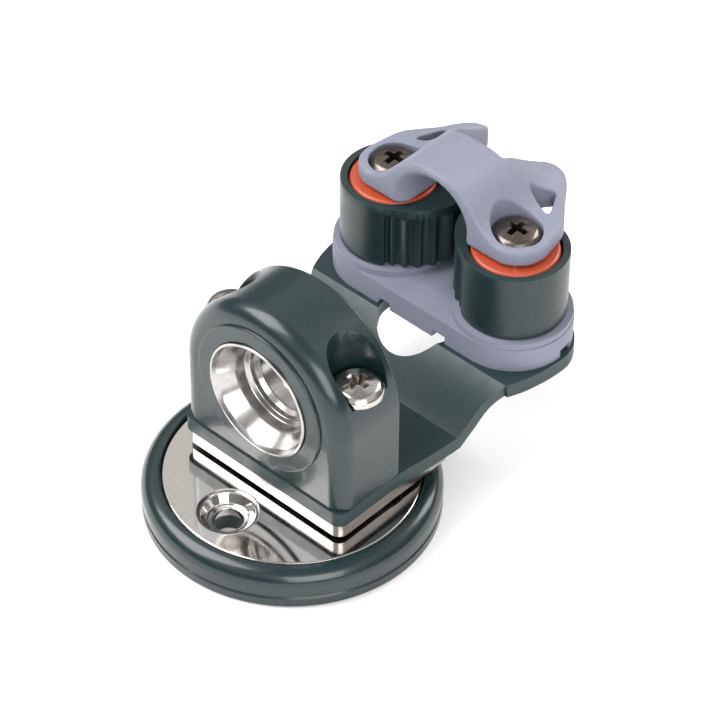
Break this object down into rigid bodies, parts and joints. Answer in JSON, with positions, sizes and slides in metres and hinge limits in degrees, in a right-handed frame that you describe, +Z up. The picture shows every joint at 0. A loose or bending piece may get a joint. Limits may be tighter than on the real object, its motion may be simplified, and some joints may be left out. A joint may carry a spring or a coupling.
{
  "type": "swivel cam cleat",
  "caption": "Swivelling cam cleat: round screw-down base, arm with a lined rope eye, and sprung toothed cams under an arched rope guide.",
  "frame": {"origin": "on the swivel axis, at the underside of the round base", "axes": "+Z up along the swivel axis; +Y from the rope eye towards the cams, along the rope; +X to the right when looking along +Y"},
  "size_m": [0.0504, 0.0812, 0.0502],
  "materials": {
    "green_gloss": "glossy dark green moulded nylon",
    "green_moulding": "satin dark green glass-filled nylon, fine grain",
    "cam_green": "satin dark green moulded cam",
    "grey_moulding": "matt lilac-grey moulding, fine grain",
    "orange_moulding": "satin orange-red moulding",
    "white_acetal": "white acetal",
    "polished_steel": "mirror-polished stainless steel",
    "screw_steel": "bright stainless screw heads",
    "dull_screw_steel": "brushed stainless screw heads",
    "bearing_steel": "ground stainless steel",
    "spring_steel": "drawn stainless spring wire"
  },
  "bodies": {
    "base": {"base_ring": "green_gloss", "base_disc": "polished_steel", "swivel_post": "polished_steel", "lower_race": "bearing_steel"},
    "swivel_ball_row": {"swivel_balls": "bearing_steel"},
    "swivel": {"upper_race": "bearing_steel", "thrust_washer": "white_acetal", "swivel_plate": "polished_steel", "swivel_arm": "green_moulding", "fairlead_housing": "green_moulding", "bullseye": "polished_steel", "housing_screws": "screw_steel", "cleat_base": "grey_moulding", "hub_right": "white_acetal", "hub_left": "white_acetal", "ball_keeper_right": "orange_moulding", "ball_keeper_left": "orange_moulding", "return_spring_right": "spring_steel", "return_spring_left": "spring_steel", "cleat_saddle": "grey_moulding", "cleat_screws": "dull_screw_steel", "cleat_nuts": "screw_steel"},
    "cam_left": {"cam_left": "cam_green"},
    "cam_right": {"cam_right": "cam_green"},
    "cam_balls_left": {"lower_balls_left": "white_acetal", "upper_balls_left": "white_acetal"},
    "cam_balls_right": {"lower_balls_right": "white_acetal", "upper_balls_right": "white_acetal"}
  },
  "joints": [
    {"name": "swivel_turn", "type": "hinge", "parent": "base", "child": "swivel", "pos_m": [0, 0, 0.008], "axis": [0, 0, 1], "continuous": true},
    {"name": "swivel_ball_roll", "type": "hinge", "parent": "base", "child": "swivel_ball_row", "pos_m": [0, 0, 0.007], "axis": [0, 0, 1], "continuous": true},
    {"name": "cam_left_pivot", "type": "hinge", "parent": "swivel", "child": "cam_left", "pos_m": [-0.0135, 0.0391, 0.0264], "axis": [0, 0, 1], "range_deg": [0, 48], "stiffness_Nm_per_rad": 0.005, "springref_deg": -22.92},
    {"name": "cam_right_pivot", "type": "hinge", "parent": "swivel", "child": "cam_right", "pos_m": [0.0135, 0.0391, 0.0264], "axis": [0, 0, 1], "range_deg": [-48, 0], "stiffness_Nm_per_rad": 0.005, "springref_deg": 22.92},
    {"name": "cam_left_ball_roll", "type": "hinge", "parent": "swivel", "child": "cam_balls_left", "pos_m": [-0.0135, 0.0391, 0.0264], "axis": [0, 0, 1], "range_deg": [-1, 29]},
    {"name": "cam_right_ball_roll", "type": "hinge", "parent": "swivel", "child": "cam_balls_right", "pos_m": [0.0135, 0.0391, 0.0264], "axis": [0, 0, 1], "range_deg": [-29, 1]}
  ],
  "couplings": [
    {"joint": "swivel_ball_roll", "follows": "swivel_turn", "ratio": 0.5},
    {"joint": "cam_left_ball_roll", "follows": "cam_left_pivot", "ratio": 0.6},
    {"joint": "cam_right_ball_roll", "follows": "cam_right_pivot", "ratio": 0.6}
  ]
}
